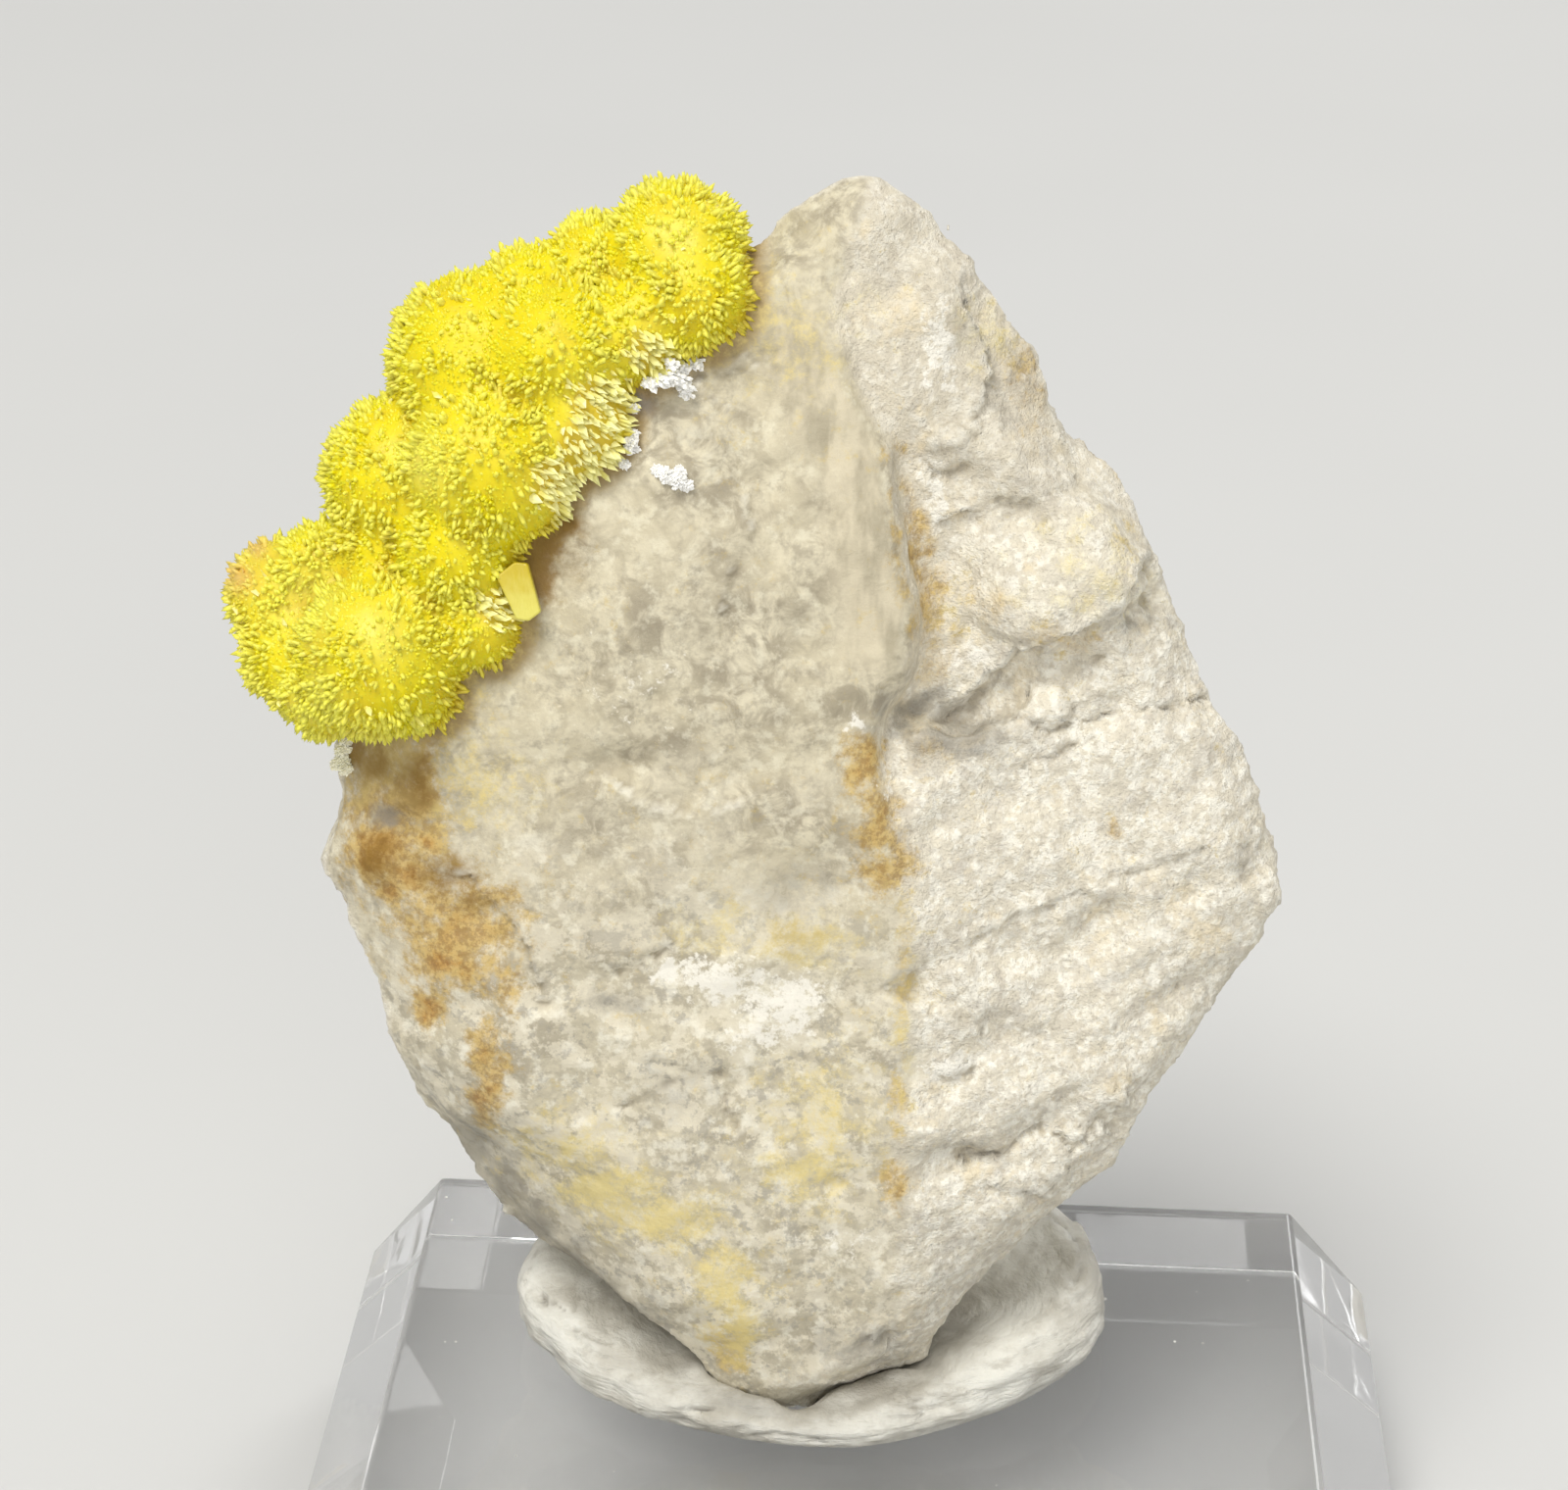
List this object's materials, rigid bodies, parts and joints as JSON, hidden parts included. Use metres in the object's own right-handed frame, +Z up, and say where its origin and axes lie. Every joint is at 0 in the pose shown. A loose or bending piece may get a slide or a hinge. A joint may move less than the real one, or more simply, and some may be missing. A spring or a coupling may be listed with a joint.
{
  "type": "creedite specimen",
  "caption": "Kite-shaped piece of pale matrix rock with a yellow crust of radiating crystals, held upright in white putty on a clear bevelled display block.",
  "frame": {"origin": "centre of the display block's underside, where it rests", "axes": "+Z up, -Y towards the viewer and the rock's broad face, +X to the viewer's right"},
  "size_m": [0.0325, 0.0318, 0.0433],
  "materials": {
    "clear_acrylic": "polished",
    "white_putty": "matte",
    "pale_rock": "matte",
    "yellow_crystal": "satin",
    "amber_crystal": "satin",
    "white_crystal": "satin",
    "cream_crystal": "satin"
  },
  "bodies": {
    "root": {"display_block": "clear_acrylic", "putty": "white_putty", "matrix_rock": "pale_rock", "crystal_crust": "yellow_crystal", "tabular_crystal": "amber_crystal", "white_tuft_upper": "white_crystal", "white_tuft_lower": "white_crystal", "edge_tuft": "cream_crystal"}
  },
  "joints": []
}
